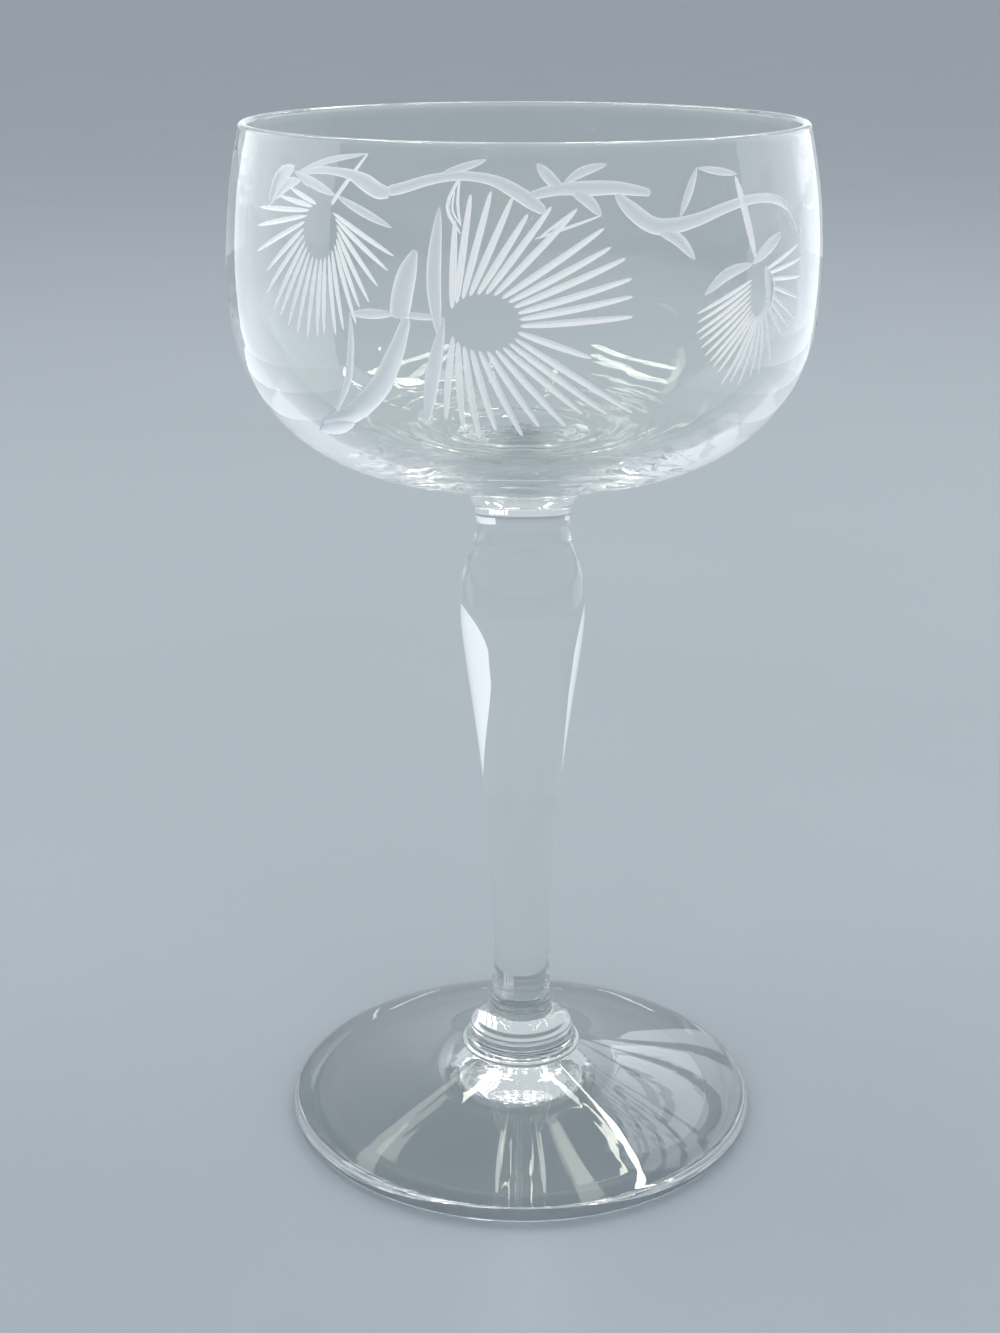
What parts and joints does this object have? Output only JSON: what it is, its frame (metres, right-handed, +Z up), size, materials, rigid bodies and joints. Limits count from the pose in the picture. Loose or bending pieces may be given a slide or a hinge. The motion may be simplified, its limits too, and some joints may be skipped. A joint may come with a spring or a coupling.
{
  "type": "coupe glass",
  "caption": "Stemmed drinking glass with a wide rounded bowl, a drawn shouldered stem, a round knop over a thin merese, and a spread foot.",
  "frame": {"origin": "centre of the ring under the foot that the glass rests on", "axes": "+Z up along the glass's axis of revolution; +Y away from the picture's camera, +X to its right"},
  "size_m": [0.0842, 0.0842, 0.155],
  "materials": {
    "clear_glass": "fire-polished clear glass, with matt wheel cuts on the outside of the bowl"
  },
  "bodies": {
    "root": {"bowl": "clear_glass", "stem": "clear_glass", "knop": "clear_glass", "merese": "clear_glass", "foot": "clear_glass"}
  },
  "joints": []
}
